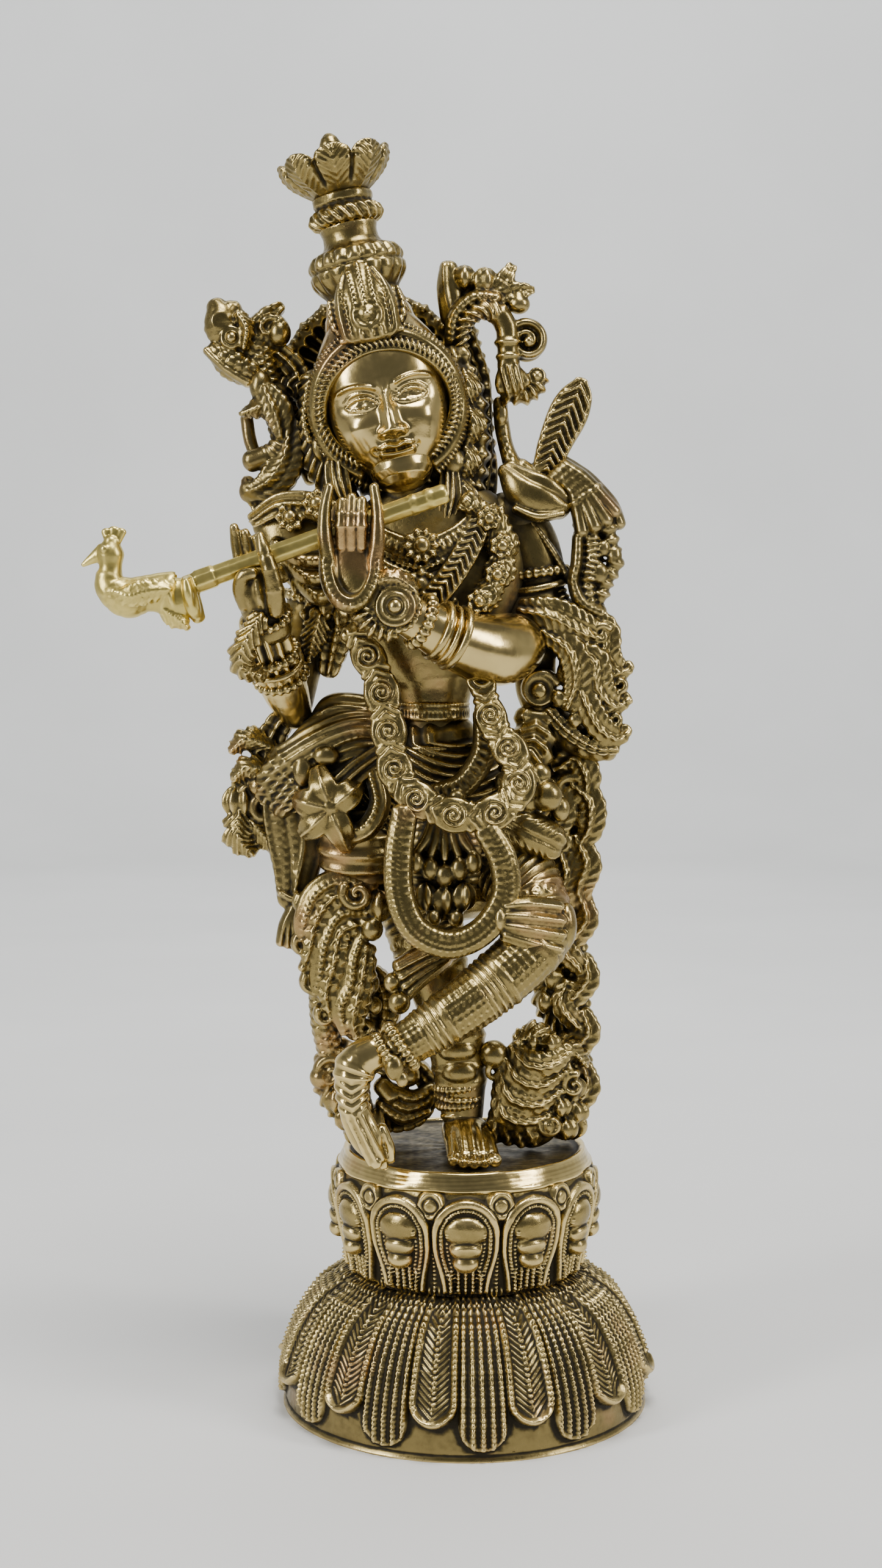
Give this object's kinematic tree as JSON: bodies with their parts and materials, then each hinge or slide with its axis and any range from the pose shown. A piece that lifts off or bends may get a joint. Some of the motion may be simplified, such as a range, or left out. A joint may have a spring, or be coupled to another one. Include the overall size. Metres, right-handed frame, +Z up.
{
  "type": "hindu deity statue",
  "caption": "Cast antique-brass flute-playing deity statue in ornate dress, standing cross-legged on a double-lotus pedestal, with a flute that slides out of its hands.",
  "frame": {"origin": "centre of the pedestal's flat underside", "axes": "+Z up, -Y towards the viewer in front of the figure, +X to that viewer's right"},
  "size_m": [0.2193, 0.148, 0.5001],
  "materials": {
    "antique_brass": "cast relief, worn bright on the high spots with a brown-black patina in the recesses",
    "dark_brass": "cast relief with a heavy brown-black patina",
    "polished_brass": "polished smooth, light patina in the lines",
    "satin_brass": "satin, bare yellow brass",
    "steel": "plain zinc-plated fixing"
  },
  "bodies": {
    "statue": {"lotus_skirt": "dark_brass", "lotus_tier": "antique_brass", "deck_plate": "polished_brass", "fixing_screw": "steel", "fixing_washer": "steel", "standing_leg": "antique_brass", "standing_foot": "polished_brass", "standing_anklets": "antique_brass", "crossed_leg": "antique_brass", "crossed_foot": "polished_brass", "crossed_anklets": "antique_brass", "knee_leaf": "antique_brass", "hips_dhoti": "antique_brass", "dhoti_tassels": "dark_brass", "hip_sash_left": "dark_brass", "sash_knot_left": "antique_brass", "sash_tail_left": "dark_brass", "hip_knot_right": "antique_brass", "waist_chain": "dark_brass", "waist_belts": "antique_brass", "drapery_end": "antique_brass", "torso": "antique_brass", "necklaces": "antique_brass", "shoulder_garland": "antique_brass", "shoulder_drape_left": "antique_brass", "upper_garland": "antique_brass", "lower_garland": "antique_brass", "left_upper_arm": "antique_brass", "left_forearm": "polished_brass", "left_hand": "antique_brass", "left_bangles": "antique_brass", "right_upper_arm": "antique_brass", "right_forearm": "polished_brass", "right_hand": "antique_brass", "right_bracelets": "antique_brass", "head": "polished_brass", "headband": "antique_brass", "ear_ornaments": "antique_brass", "halo_disc": "dark_brass", "aigrette": "antique_brass", "crown_tier": "antique_brass", "crown_rope": "antique_brass", "crown_cup": "antique_brass", "crown_finial": "antique_brass", "upper_scroll_left": "antique_brass", "leaf_mass_left": "dark_brass", "hip_scroll_left": "antique_brass", "feather_scroll_left": "antique_brass", "foot_curl_left": "antique_brass", "foot_curl_centre": "antique_brass", "upper_scroll_right": "antique_brass", "pointed_leaf_right": "antique_brass", "shoulder_scarf_right": "dark_brass", "elbow_scarf_right": "antique_brass", "creeper_right": "antique_brass", "foot_scroll_right": "antique_brass"},
    "flute": {"flute_rod": "satin_brass", "peacock_finial": "satin_brass"}
  },
  "joints": [
    {"name": "flute_slide", "type": "slide", "parent": "statue", "child": "flute", "axis": [-0.9426, 0, -0.3338], "range_m": [0, 0.06]}
  ]
}
